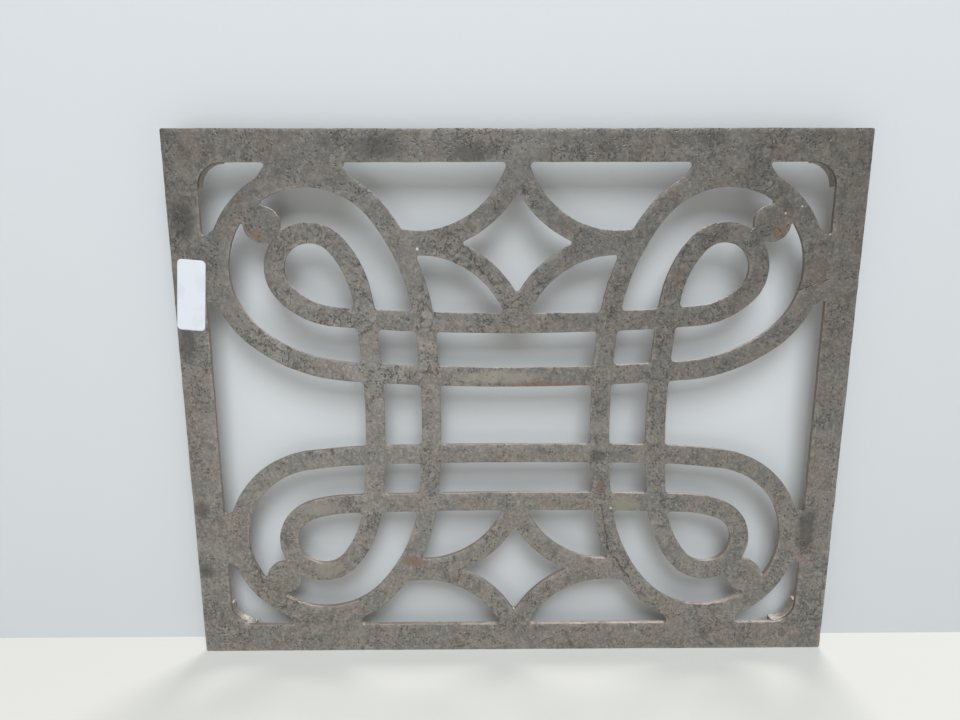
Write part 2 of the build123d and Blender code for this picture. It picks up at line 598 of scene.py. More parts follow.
class Mottle(Effect):
    """Cloudy patches at three sizes, added together: the uneven tone of handled metal or paper."""

    name = "mottle"
    inputs = {"Place": ("Vector", (0, 0, 0)), "Patch": ("Float", 10.0), "Shift": ("Float", 0.0)}
    outputs = ("Broad", "Close")

    def build(self, board: Board, given: dict[str, bpy.types.NodeSocket]) -> tuple[bpy.types.NodeSocket, ...]:
        """Divides the place by the patch size, and reads noise there and at a quarter of that size.

        Args:
            board: The group's board.
            given: The group's inputs, by name.

        Returns:
            The broad mask and the close mask.
        """
        shifted = board.vector("ADD", given["Place"], board.add("CombineXYZ", {0: given["Shift"]}).outputs[0])
        scaled = board.scaled(shifted, board.math("DIVIDE", 1.0, given["Patch"]))
        broad = board.noise(scaled, 1.0, detail=3.0, rough=0.5)
        close = board.noise(scaled, 0.24, detail=5.0, rough=0.6)
        return board.ramp(broad, 0.3, 0.7), board.ramp(close, 0.3, 0.7)


class Pits(Effect):
    """Small round hollows left by sand grains, in clusters: the near half of cells of a Voronoi pattern."""

    name = "pits"
    inputs = {
        "Place": ("Vector", (0, 0, 0)),
        "Size": ("Float", 1.0),
        "Share": ("Float", 0.3),
        "Cluster": ("Float", 12.0),
    }

    def build(self, board: Board, given: dict[str, bpy.types.NodeSocket]) -> tuple[bpy.types.NodeSocket, ...]:
        """Warps the place, finds the nearest cell's middle, and keeps it where the cell's number and cluster allow.

        Args:
            board: The group's board.
            given: The group's inputs, by name.

        Returns:
            The mask.
        """
        wander = board.add("TexNoise", {"Vector": given["Place"], "Scale": 1.3, "Detail": 2.0}).outputs["Color"]
        centred = board.vector("SUBTRACT", wander, (0.5, 0.5, 0.5))
        warped = board.vector("ADD", given["Place"], board.scaled(centred, 1.1))
        scale = board.math("DIVIDE", 1.0, given["Size"])
        cells = board.add("TexVoronoi", {"Vector": warped, "Scale": scale}, feature="F1")
        number = board.add("SeparateColor", {0: cells.outputs["Color"]}).outputs[0]
        cluster_scale = board.math("DIVIDE", 1.0, given["Cluster"])
        patch = board.add("TexNoise", {"Vector": given["Place"], "Scale": cluster_scale, "Detail": 3.0})
        allowed = board.math("MULTIPLY", board.ramp(patch.outputs["Fac"], 0.42, 0.66), given["Share"])
        chosen = board.math("LESS_THAN", number, allowed)
        hollow = board.ramp(cells.outputs["Distance"], 0.5, 0.12)
        return (board.math("MULTIPLY", hollow, chosen),)


class Veins(Effect):
    """Thin dark lines that wander and break off, as scale leaves on a cast face: the middle contours of a noise."""

    name = "veins"
    inputs = {
        "Place": ("Vector", (0, 0, 0)),
        "Size": ("Float", 6.0),
        "Width": ("Float", 0.02),
        "Cluster": ("Float", 20.0),
    }

    def build(self, board: Board, given: dict[str, bpy.types.NodeSocket]) -> tuple[bpy.types.NodeSocket, ...]:
        """Keeps what lies near the noise's middle value, where a second, broader noise is high.

        Args:
            board: The group's board.
            given: The group's inputs, by name.

        Returns:
            The mask.
        """
        size = board.math("DIVIDE", 1.0, given["Size"])
        cluster = board.math("DIVIDE", 1.0, given["Cluster"])
        inputs = {"Vector": given["Place"], "Scale": size, "Detail": 6.0, "Roughness": 0.6, "Distortion": 0.6}
        value = board.add("TexNoise", inputs).outputs["Fac"]
        away = board.math("ABSOLUTE", board.math("SUBTRACT", value, 0.5))
        line = board.ramp(away, given["Width"], 0.0)
        patch = board.add("TexNoise", {"Vector": given["Place"], "Scale": cluster, "Detail": 4.0, "Roughness": 0.6})
        return (board.math("MULTIPLY", line, board.ramp(patch.outputs["Fac"], 0.47, 0.57)),)


class Seam(Effect):
    """A hairline where two tongues of iron met cold, or a crack: what lies near a wandering straight run."""

    name = "seam"
    inputs = {
        "Place": ("Vector", (0, 0, 0)),
        "Start": ("Vector", (0, 0, 0)),
        "End": ("Vector", (1, 0, 0)),
        "Width": ("Float", 0.4),
        "Wander": ("Float", 2.0),
    }

    def build(self, board: Board, given: dict[str, bpy.types.NodeSocket]) -> tuple[bpy.types.NodeSocket, ...]:
        """Drops the warped place onto the run and fades with its distance from it, broken up by noise.

        Args:
            board: The group's board.
            given: The group's inputs, by name.

        Returns:
            The mask.
        """
        flat = board.vector("MULTIPLY", given["Place"], (1, 0, 1))
        noise = board.add("TexNoise", {"Vector": flat, "Scale": 0.22, "Detail": 5.0, "Roughness": 0.62})
        centred = board.vector("SUBTRACT", noise.outputs["Color"], (0.5, 0.5, 0.5))
        pushed = board.scaled(centred, given["Wander"])
        warped = board.vector("ADD", flat, board.vector("MULTIPLY", pushed, (1, 0, 1)))
        run = board.vector("SUBTRACT", given["End"], given["Start"])
        off = board.vector("SUBTRACT", warped, given["Start"])
        along = board.math("DIVIDE", board.dot(off, run), board.dot(run, run))
        foot = board.scaled(run, board.add("Clamp", {"Value": along}).outputs[0])
        away = board.length(board.vector("SUBTRACT", off, foot))
        line = board.ramp(away, given["Width"], board.math("MULTIPLY", given["Width"], 0.25))
        broken = board.ramp(board.noise(flat, 1.9, detail=3.0), 0.36, 0.56)
        return (board.math("MULTIPLY", line, broken),)


class Stain(Effect):
    """A soft ragged patch round a spot, longer one way than the other."""

    name = "stain"
    inputs = {
        "Place": ("Vector", (0, 0, 0)),
        "Middle": ("Vector", (0, 0, 0)),
        "Reach": ("Vector", (5, 1000, 5)),
        "Ragged": ("Float", 0.8),
    }

    def build(self, board: Board, given: dict[str, bpy.types.NodeSocket]) -> tuple[bpy.types.NodeSocket, ...]:
        """Divides the way from the middle by the reach, adds noise to its length, and fades from inside to out.

        Args:
            board: The group's board.
            given: The group's inputs, by name.

        Returns:
            The mask.
        """
        off = board.vector("SUBTRACT", given["Place"], given["Middle"])
        away = board.length(board.vector("DIVIDE", off, given["Reach"]))
        ragged = board.math("SUBTRACT", board.noise(given["Place"], 2.6, detail=5.0, rough=0.65), 0.5)
        uneven = board.math("ADD", away, board.math("MULTIPLY", ragged, given["Ragged"]))
        return (board.ramp(uneven, 1.0, 0.35),)


class Effects:
    """The node groups that the finishes share, each built once."""

    def __init__(self) -> None:
        """Builds every group."""
        self.mottle = Mottle()
        self.pits = Pits()
        self.veins = Veins()
        self.seam = Seam()
        self.stain = Stain()


# Finishes


class Tint(Enum):
    """What a stain does to the iron under it."""

    SOOT = "soot"
    RUST = "rust"
    BLOOM = "bloom"
    CHIP = "chip"


@dataclass(frozen=True)
class SeamMark:
    """One seam on the face, in millimetres from the plate's centre."""

    start: Spot
    end: Spot
    width: float = 0.45
    wander: float = 5.0

    def inputs(self) -> dict[str, Wire]:
        """The seam effect's inputs for this mark."""
        run = {"Start": (self.start[0], 0, self.start[1]), "End": (self.end[0], 0, self.end[1])}
        return {**run, "Width": self.width, "Wander": self.wander}


@dataclass(frozen=True)
class StainMark:
    """One stain on the face, in millimetres from the plate's centre."""

    tint: Tint
    middle: Spot
    reach: Spot
    ragged: float = 0.9
    strength: float = 0.6

    def inputs(self) -> dict[str, Wire]:
        """The stain effect's inputs for this mark: it reaches through the whole thickness."""
        place = {"Middle": (self.middle[0], 0, self.middle[1]), "Reach": (self.reach[0], 1000, self.reach[1])}
        return {**place, "Ragged": self.ragged}


@dataclass(frozen=True)
class IronFinish:
    """Bare grey cast iron, dull from age. Sizes are in millimetres and colours are linear."""

    name: str
    grey: Colour = (0.172, 0.158, 0.141)
    warm: Colour = (0.168, 0.137, 0.115)
    cool: Colour = (0.118, 0.113, 0.106)
    pale: Colour = (0.350, 0.328, 0.295)
    dark: Colour = (0.026, 0.023, 0.021)
    rust: Colour = (0.180, 0.098, 0.052)
    bloom: Colour = (0.280, 0.258, 0.212)
    umber: Colour = (0.088, 0.072, 0.058)
    wall: Colour = (0.190, 0.140, 0.118)
    chip: Colour = (0.62, 0.61, 0.58)
    patch: float = 16.0
    pit_size: float = 1.4
    pit_share: float = 0.75
    shift: float = 0.0
    # Painted light and shade: the colour is scaled from the foot of the plate to its head, over reach either side of
    # the middle, brighter low down and darker high up, as the light falls on it.
    reach: float = 124.0
    foot_painted_light: float = 1.30
    head_painted_shade: float = 0.84
    rough_low: float = 0.34
    rough_high: float = 0.52
    metal: float = 0.55
    ior: float = 2.1
    bump_depth: float = 0.16
    seam_depth: float = 0.8
    seams: tuple[SeamMark, ...] = ()
    stains: tuple[StainMark, ...] = ()

    def material(self, effects: Effects) -> bpy.types.Material:
        """Builds the finish's material.

        Args:
            effects: The shared node groups.

        Returns:
            The material.
        """
        made, board = new_material(self.name)
        place = board.millimetres()
        colour, height = self.skin(board, effects, place)
        colour, height = self.marked(board, effects, place, colour, height)
        inputs = {
            "Base Color": colour,
            "Metallic": self.metal,
            "Roughness": self.roughness(board, place),
            "IOR": self.ior,
            "Normal": board.add("Bump", {"Height": height, "Distance": self.bump_depth * MM}).outputs[0],
        }
        board.add("OutputMaterial", {0: board.add("BsdfPrincipled", inputs).outputs[0]})
        return made

    def skin(
        self, board: Board, effects: Effects, place: bpy.types.NodeSocket
    ) -> tuple[bpy.types.NodeSocket, bpy.types.NodeSocket]:
        """The iron's tone and texture: patches, grain, pits, hairlines and worn arrises, with painted light towards the
        foot and painted shade towards the head.

        Args:
            board: The material's board.
            effects: The shared node groups.
            place: The place on the object in millimetres.

        Returns:
            The colour and the height.
        """
        mottle = effects.mottle.place(board, {"Place": place, "Patch": self.patch, "Shift": self.shift})
        cloud = effects.mottle.place(board, {"Place": place, "Patch": 0.45 * self.patch, "Shift": self.shift + 91.0})
        tone = board.blend(mottle.outputs["Broad"], opaque(self.grey), self.warm)
        tone = board.coat(tone, cloud.outputs["Broad"], (0.25, 0.85), 0.75, self.cool)
        tone = board.coat(tone, cloud.outputs["Close"], (0.50, 0.90), 0.45, self.bloom)
        tone = board.coat(tone, mottle.outputs["Close"], (0.60, 0.95), 0.50, self.umber)
        grain = board.noise(place, 1.1, detail=7.0, rough=0.7)
        fine = board.noise(place, 0.34, detail=3.0, rough=0.6)
        tone = board.coat(tone, grain, (0.50, 0.68), 0.45, self.pale)
        tone = board.coat(tone, grain, (0.48, 0.30), 0.45, self.dark)
        tone = board.coat(tone, fine, (0.55, 0.72), 0.40, self.pale)
        pit_inputs = {"Place": place, "Size": self.pit_size, "Share": self.pit_share, "Cluster": 11.0}
        pits = effects.pits.place(board, pit_inputs).outputs["Mask"]
        veins = effects.veins.place(board, {"Place": place, "Size": 5.5, "Width": 0.024}).outputs["Mask"]
        scars = board.math("MAXIMUM", pits, veins)
        tone = board.blend(board.math("MULTIPLY", scars, 0.85), tone, self.dark)
        rim = board.add("Attribute", {}, attribute_name="rim").outputs["Fac"]
        wear_noise = board.ramp(board.noise(place, 3.2, detail=4.0), 0.42, 0.64)
        wear = board.math("MULTIPLY", board.math("MULTIPLY", rim, wear_noise), 0.3)
        tone = board.blend(wear, tone, self.pale)
        wall = board.add("Attribute", {}, attribute_name="wall").outputs["Fac"]
        tone = board.blend(board.math("MULTIPLY", wall, 0.6), tone, self.wall)
        # Painted light and shade: the finished colour is scaled up towards the foot of the plate and down towards its
        # head.
        level = board.add("SeparateXYZ", {0: place}).outputs[2]
        painted_light_gain = board.ramp(level, -self.reach, self.reach, self.foot_painted_light, self.head_painted_shade)
        tone = board.scaled(tone, painted_light_gain)
        height = board.math("MULTIPLY_ADD", grain, 0.55, board.math("MULTIPLY", fine, 0.25))
        height = board.math("SUBTRACT", height, board.math("MULTIPLY", scars, 0.6))
        return tone, height

    def marked(
        self,
        board: Board,
        effects: Effects,
        place: bpy.types.NodeSocket,
        colour: bpy.types.NodeSocket,
        height: bpy.types.NodeSocket,
    ) -> tuple[bpy.types.NodeSocket, bpy.types.NodeSocket]:
        """Lays the finish's stains and seams over the skin.

        Args:
            board: The material's board.
            effects: The shared node groups.
            place: The place on the object in millimetres.
            colour: The skin's colour.
            height: The skin's height.

        Returns:
            The colour and the height with the marks on them.
        """
        tints = {Tint.SOOT: self.dark, Tint.RUST: self.rust, Tint.BLOOM: self.bloom, Tint.CHIP: self.chip}
        for stain in self.stains:
            mask = effects.stain.place(board, {"Place": place, **stain.inputs()}).outputs["Mask"]
            colour = board.blend(board.math("MULTIPLY", mask, stain.strength), colour, tints[stain.tint])
        for seam in self.seams:
            mask = effects.seam.place(board, {"Place": place, **seam.inputs()}).outputs["Mask"]
            depth = board.math("MULTIPLY", mask, self.seam_depth)
            colour = board.blend(depth, colour, self.dark)
            height = board.math("SUBTRACT", height, depth)
        return colour, height

    def roughness(self, board: Board, place: bpy.types.NodeSocket) -> bpy.types.NodeSocket:
        """The roughness, smoother where hands have rubbed it."""
        return board.ramp(board.noise(place, 6.0, detail=5.0), 0.35, 0.65, self.rough_high, self.rough_low)


@dataclass(frozen=True)
class PaperFinish:
    """Matt label paper, a little grubby."""

    name: str = "label_paper"
    white: Colour = (0.66, 0.68, 0.73)
    grubby: Colour = (0.50, 0.50, 0.50)

    def material(self, effects: Effects) -> bpy.types.Material:
        """Builds the finish's material.

        Args:
            effects: The shared node groups.

        Returns:
            The material.
        """
        made, board = new_material(self.name)
        place = board.millimetres()
        mottle = effects.mottle.place(board, {"Place": place, "Patch": 7.0, "Shift": 31.0})
        fibre = board.noise(board.vector("MULTIPLY", place, (1.0, 1.0, 0.35)), 0.22, detail=4.0)
        grime = board.ramp(mottle.outputs["Broad"], 0.55, 1.0, 0.0, 0.22)
        grime = board.math("ADD", grime, board.ramp(fibre, 0.6, 0.8, 0.0, 0.1))
        inputs = {
            "Base Color": board.blend(grime, opaque(self.white), self.grubby),
            "Roughness": board.ramp(mottle.outputs["Close"], 0.0, 1.0, 0.42, 0.6),
            "IOR": 1.45,
            "Normal": board.add("Bump", {"Height": fibre, "Distance": 0.02 * MM}).outputs[0],
        }
        board.add("OutputMaterial", {0: board.add("BsdfPrincipled", inputs).outputs[0]})
        return made


def plain_material(name: str, colour: Colour, one_way: bool = False) -> bpy.types.Material:
    """A plain matt material for the floor and the backdrop.

    Args:
        name: The material's name.
        colour: Its colour.
        one_way: Whether the side that faces away is see-through.

    Returns:
        The material.
    """
    made, board = new_material(name)
    shader = board.add("BsdfPrincipled", {"Base Color": opaque(colour), "Roughness": 0.9}).outputs[0]
    if one_way:
        behind = board.add("NewGeometry", {}).outputs["Backfacing"]
        clear = board.add("BsdfTransparent", {}).outputs[0]
        shader = board.add("MixShader", {0: behind, 1: shader, 2: clear}).outputs[0]
    board.add("OutputMaterial", {0: shader})
    return made


FACE_SEAMS = (
    SeamMark((-23, 76), (-18, 66)),
    SeamMark((-18, 66), (-7, 53), width=0.55),
    SeamMark((-5, 46), (3, 53), wander=3.0),
    SeamMark((10, 57), (26, 65), wander=3.0),
    SeamMark((125, 54), (138, 59), width=0.6),
    SeamMark((138, 59), (151, 60)),
    SeamMark((63, 109), (62.5, 117), wander=1.5, width=0.35),
    SeamMark((38.5, 109), (39, 116), wander=1.5, width=0.35),
    SeamMark((55, 110), (56, 114), wander=1.5, width=0.3),
    SeamMark((77, -107), (90, -101), width=0.35),
    SeamMark((90, -101), (102, -100), width=0.35),
    SeamMark((114, -120), (119, -113), wander=1.5, width=0.35),
    SeamMark((-134, -49), (-124, -45), wander=2.0, width=0.35),
    SeamMark((41, -47), (45, -70), width=0.7),
    SeamMark((45, -70), (56, -86), width=0.8),
    SeamMark((-127, -68), (-122, -86), width=0.4),
    SeamMark((112, 84), (119, 76), width=0.4, wander=2.0),
)
FACE_STAINS = (
    StainMark(Tint.SOOT, (-146, 86), (7, 12)),
    StainMark(Tint.SOOT, (-148, 31), (5, 13)),
    StainMark(Tint.SOOT, (-148.5, -49), (5, 6)),
    StainMark(Tint.SOOT, (-149, -80), (5, 6)),
    StainMark(Tint.SOOT, (-60, 116), (16, 7)),
    StainMark(Tint.SOOT, (-20, 114), (14, 6)),
    StainMark(Tint.SOOT, (38, -23), (5, 5)),
    StainMark(Tint.SOOT, (140, -60), (6, 16)),
    StainMark(Tint.RUST, (-48, -76), (9, 3.5), ragged=0.5),
    StainMark(Tint.RUST, (-114, 79), (4, 3.5)),
    StainMark(Tint.RUST, (115, 80), (4.5, 4)),
    StainMark(Tint.RUST, (12, 11.5), (24, 2.0)),
    StainMark(Tint.RUST, (40, -38), (3, 5)),
    StainMark(Tint.RUST, (18, 74), (6, 3)),
    StainMark(Tint.RUST, (-112, 55), (3.5, 7)),
    StainMark(Tint.BLOOM, (-92, -49), (12, 4)),
    StainMark(Tint.BLOOM, (-90, -79), (12, 5)),
    StainMark(Tint.BLOOM, (-8, 15), (26, 4)),
    StainMark(Tint.BLOOM, (52, -47), (10, 5)),
    StainMark(Tint.CHIP, (-44, 73), (0.9, 0.9), ragged=0.3, strength=0.9),
    StainMark(Tint.CHIP, (117, 88), (0.6, 0.6), ragged=0.3, strength=0.9),
    StainMark(Tint.CHIP, (124, 91), (0.5, 0.5), ragged=0.3, strength=0.9),
    StainMark(Tint.CHIP, (45.5, -49), (0.8, 0.8), ragged=0.3, strength=0.9),
)


# The casting


@dataclass(frozen=True)
class Section:
    """The casting's section where an outline cuts it: a front arris, the wall, and a back arris.

    Each ring of points lies at an inset from the outline and a depth behind the face. Both are sums of shares of
    the front arris's radius, the back arris's radius and the thickness. Quarter circles make the arrises, and the
    wall leans inwards to the back by the draft that let the pattern out of the sand.
    """

    front_steps: int = 4
    wall_steps: int = 3
    back_steps: int = 3

    def shares(self) -> tuple[np.ndarray, ...]:
        """The shares of each ring: front inset, back inset, front depth, back depth and through depth."""
        turn = np.linspace(0, math.pi / 2, self.front_steps)
        down = np.linspace(0, 1, self.wall_steps + 1)[1:-1]
        back_turn = np.linspace(0, math.pi / 2, self.back_steps)
        level = np.zeros(len(down))
        none_front, none_back = np.zeros(len(turn)), np.zeros(len(back_turn))
        front_inset = np.concatenate([1 - np.sin(turn), level, none_back])
        back_inset = np.concatenate([none_front, level, 1 - np.cos(back_turn)])
        front_depth = np.concatenate([1 - np.cos(turn), 1 - down, none_back])
        back_depth = np.concatenate([none_front, -down, np.sin(back_turn) - 1])
        through = np.concatenate([none_front, down, np.ones(len(back_turn))])
        return front_inset, back_inset, front_depth, back_depth, through


@dataclass
class Casting:
    """The plate: border and strapwork in one piece of iron, with the openings' walls and arrises as cast."""

    node: str = "grille_plate"
    slot: str = "cast_iron"
    outline_step: float = 0.8 * MM
    softening: float = 0.3 * MM
    face_step: float = 1.9 * MM
    back_step: float = 3.2 * MM
    front_arris: float = 0.16 * MM
    back_arris: float = 0.3 * MM
    draft: float = 0.42 * MM
    wear_reach: float = 1.1 * MM
    side_wear: float = 0.8
    back_wear: float = 0.7
    section: Section = Section()
    face_relief: Unevenness = Unevenness((0.10 * MM, 0.06 * MM, 0.03 * MM), (34 * MM, 11 * MM, 4.5 * MM), 11)
    back_relief: Unevenness = Unevenness((0.12 * MM, 0.08 * MM, 0.05 * MM), (28 * MM, 9 * MM, 4.5 * MM), 23)
    edge_relief: Unevenness = Unevenness((0.16 * MM, 0.10 * MM), (9 * MM, 2.6 * MM), 37)
    wall_relief: Unevenness = Unevenness((0.10 * MM,), (2.2 * MM,), 53)
    arris_change: Unevenness = Unevenness((0.22 * MM,), (4 * MM,), 71)

    def build(self, finish: bpy.types.Material) -> bpy.types.Object:
        """Builds the casting and puts its finish on it.

        Args:
            finish: The iron for its face.

        Returns:
            The casting.
        """
        low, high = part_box(self.node)
        outlines = [
            outline.resampled(self.outline_step).relaxed(self.softening) for outline in outlines_of(self.node)
        ]
        walls = [self.wall(outline, low.y, high.y) for outline in outlines]
        rings = walls[0].shape[1]
        firsts = np.cumsum([0] + [wall.shape[0] * rings for wall in walls])
        quads = [
            grid_faces(len(wall), rings, first, wrap_rows=True)[:, ::-1] for wall, first in zip(walls, firsts)
        ]
        wall_points = np.vstack([wall.reshape(-1, 3) for wall in walls])
        rims = [np.arange(first, first + len(wall) * rings, rings) for wall, first in zip(walls, firsts)]
        face = self.cap(wall_points, rims, self.face_step, low.y, self.face_relief)
        back_rims = [rim + rings - 1 for rim in rims]
        back = self.cap(wall_points, back_rims, self.back_step, high.y, self.back_relief, down=-1)
        face_map = np.concatenate([*rims, len(wall_points) + np.arange(len(face.points))])
        first_back = len(wall_points) + len(face.points)
        back_map = np.concatenate([*back_rims, first_back + np.arange(len(back.points))])
        ring_wear, ring_wall = self.ring_masks(len(wall_points) // rings)
        surface = Surface(
            np.vstack([wall_points, face.points, back.points]),
            [np.vstack(quads), face_map[face.triangles], back_map[back.triangles][:, ::-1]],
            {
                "rim": np.concatenate([ring_wear, self.worn(face), self.worn(back)]),
                "wall": np.concatenate([ring_wall, np.zeros(len(face.points) + len(back.points))]),
            },
        )
        piece = surface.facing_out().piece("casting")
        piece.data.materials.append(finish)
        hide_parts(self.node)
        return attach(piece, BODY)

    def wall(self, outline: Outline, front: float, back: float) -> np.ndarray:
        """The rings of points from the face's rim, over both arrises, to the back's rim.

        Args:
            outline: The outline that the wall follows.
            front: The Y of the plate's face.
            back: The Y of the plate's back.

        Returns:
            An (outline points, rings, 3) array.
        """
        front_inset, back_inset, front_depth, back_depth, through = self.section.shares()
        flat = upright(outline.points)
        arris = (self.front_arris + self.arris_change.at(flat))[:, None]
        shift = self.edge_relief.at(flat)[:, None]
        depth = arris * front_depth + self.back_arris * back_depth + (back - front) * through
        leaning = self.draft * np.clip(depth / (back - front), 0, 1)
        inset = shift + arris * front_inset + self.back_arris * back_inset + leaning
        inward = outline.inward()
        x = outline.points[:, :1] + inward[:, :1] * inset
        z = outline.points[:, 1:] + inward[:, 1:] * inset
        sites = np.stack([x, front + depth, z], axis=-1).reshape(-1, 3)
        on_wall = np.sin(np.pi * np.clip(depth / (back - front), 0, 1))
        rough = self.wall_relief.at(sites).reshape(depth.shape) * on_wall
        x = x + inward[:, :1] * rough
        z = z + inward[:, 1:] * rough
        ends = np.stack([x, np.zeros_like(x), z], axis=-1).reshape(-1, 3)
        face_dip = self.face_relief.at(ends).reshape(depth.shape)
        back_dip = self.back_relief.at(ends).reshape(depth.shape)
        share = depth / (back - front)
        y = front + depth + face_dip * (1 - share) - back_dip * share
        return np.stack([x, y, z], axis=-1)

    def cap(
        self,
        wall_points: np.ndarray,
        rims: list[np.ndarray],
        step: float,
        level: float,
        relief: Unevenness,
        down: int = 1,
    ) -> Flat:
        """Fills the face or the back between the walls' rims, and sinks its inner points by its relief.

        Args:
            wall_points: The points of every wall.
            rims: The numbers of each wall's points on this side.
            step: The lattice's spacing in metres.
            level: The side's Y.
            relief: How far it falls short of that Y.
            down: The sign of Y into the metal.

        Returns:
            The filled side, with only its inner points and their distances. Its triangles still count the rims first.
        """
        flat = filled([wall_points[rim][:, [0, 2]] for rim in rims], step)
        inner = slice(sum(len(rim) for rim in rims), None)
        points = upright(flat.points[inner])
        points[:, 1] = level + down * relief.at(points)
        return Flat(points, flat.triangles, flat.rim_distance[inner])

    def worn(self, side: Flat) -> np.ndarray:
        """The wear on a side's inner points, which fades as a bell curve with the distance from an arris."""
        return self.side_wear * np.exp(-((side.rim_distance / self.wear_reach) ** 2))

    def ring_masks(self, stations: int) -> tuple[np.ndarray, np.ndarray]:
        """The masks of each wall point: its wear, which is on both arrises, and how far it is wall, not arris.

        Args:
            stations: How many points the outlines have together.

        Returns:
            The wear and the wall mask.
        """
        front_inset, _, _, _, through = self.section.shares()
        wear = np.where(through == 0, 1.0, np.where(through == 1, self.back_wear, 0.0))
        wall = np.where(through == 0, 1 - front_inset, 1.0)
        return np.tile(wear, stations), np.tile(wall, stations)


@dataclass
class CornerLug:
    """A curved rib on the back, round one corner of the border's opening.

    Its section is carried along a quarter circle: an upright inner face, a rounded tip, an outer face with draft, and
    a flare where it runs into the plate. Both ends are closed by rings that shrink to a point.
    """

    node: str
    slot: str = "cast_iron"
    thickness: float = 3.0 * MM
    draft: float = 0.35 * MM
    arris: float = 0.55 * MM
    flare: float = 0.9 * MM
    root: float = 1.0 * MM
    stations: int = 56
    relief: Unevenness = Unevenness((0.10 * MM, 0.06 * MM), (5 * MM, 1.8 * MM), 91)

    def section(self, height: float) -> np.ndarray:
        """The section's outline, as distances outwards from the inner face and heights behind the plate.

        Args:
            height: How far the lug stands behind the plate.

        Returns:
            An (n, 2) array, in order round the section.
        """
        turn = np.linspace(0, math.pi / 2, 5)
        rise = np.linspace(-self.root, height - self.arris, 7)[:-1]
        tip = self.thickness - self.draft
        inner_face = np.column_stack([np.zeros(len(rise)), rise])
        inner_arris = np.column_stack([self.arris * (1 - np.cos(turn)), height - self.arris * (1 - np.sin(turn))])
        outer_arris = np.column_stack([tip - self.arris * (1 - np.sin(turn)), height - self.arris * (1 - np.cos(turn))])
        fall = np.linspace(height - self.arris, self.flare, 5)[1:]
        slope = (height - self.arris - fall) / (height - self.arris - self.flare)
        outer_face = np.column_stack([tip + self.draft * slope, fall])
        flare = np.column_stack(
            [self.thickness + self.flare * (1 - np.cos(turn)), self.flare * (1 - np.sin(turn))]
        )[1:]
        below = np.array([[self.thickness + self.flare, -self.root]])
        return np.vstack([inner_face, inner_arris, outer_arris[1:], outer_face, flare, below])

    def stations_along(self, radius: float) -> tuple[np.ndarray, np.ndarray]:
        """The sections along the lug: even steps in the middle, and at each end rings that shrink as a quarter circle.

        Args:
            radius: The inner face's radius.

        Returns:
            Each section's angle, and its size as a share of the full one.
        """
        lead = self.arris / radius
        cap = np.array([0.0, 0.35, 0.7, 1.0])
        shrink = self.arris * (1 - np.sqrt(1 - cap[::-1] ** 2)) / self.thickness * 2
        even = np.linspace(lead, math.pi / 2 - lead, self.stations)[1:-1]
        start, finish = lead * (1 - cap[::-1]), math.pi / 2 - lead * (1 - cap)
        angles = np.concatenate([[0.0], start, even, finish, [math.pi / 2]])
        sizes = np.concatenate([[0.0], 1 - shrink, np.ones(len(even)), 1 - shrink[::-1], [0.0]])
        return angles, sizes

    def build(self, finish: bpy.types.Material) -> bpy.types.Object:
        """Builds the lug and puts its finish on it.

        Args:
            finish: The iron for the back.

        Returns:
            The lug.
        """
        low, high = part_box(self.node)
        side = math.copysign(1, low.x + high.x)
        end = math.copysign(1, low.z + high.z)
        radius = high.x - low.x - self.thickness
        centre_x = low.x if side > 0 else high.x
        centre_z = low.z if end > 0 else high.z
        section = self.section(high.y - low.y)
        middle = section.mean(axis=0)
        angles, sizes = self.stations_along(radius)
        spread = middle + (section - middle) * sizes[:, None, None]

        def carried(reach: np.ndarray, height: np.ndarray) -> np.ndarray:
            """Carries points round the corner, section by section.

            Args:
                reach: Their distances from the corner's centre, with one row for each section.
                height: Their heights behind the plate.

            Returns:
                The places, as an (n, 3) array.
            """
            x = centre_x + side * reach * np.cos(angles)[:, None]
            z = centre_z + end * reach * np.sin(angles)[:, None]
            return np.stack([x, low.y + height, z], axis=-1).reshape(-1, 3)

        points = carried(radius + spread[:, :, 0], spread[:, :, 1])
        core = carried(np.full(spread.shape[:2], radius + middle[0]), np.full(spread.shape[:2], middle[1]))
        way = core - points
        length = np.linalg.norm(way, axis=1, keepdims=True)
        points = points + way / np.maximum(length, self.arris) * self.relief.at(points)[:, None]
        columns = len(section)
        quads = grid_faces(len(angles), columns)
        across = np.arange(len(angles) - 1) * columns
        closing = np.stack([across + columns - 1, across + 2 * columns - 1, across + columns, across], axis=-1)
        heights = np.tile(section[:, 1], len(angles))
        tip_wear = smooth_step((heights - heights.max() + self.arris) / self.arris)
        surface = Surface(points, [np.vstack([quads, closing])], {"rim": tip_wear})
        piece = surface.facing_out().piece(self.node + "_cast")
        piece.data.materials.append(finish)
        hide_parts(self.node)
        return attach(piece, BODY)


# The label


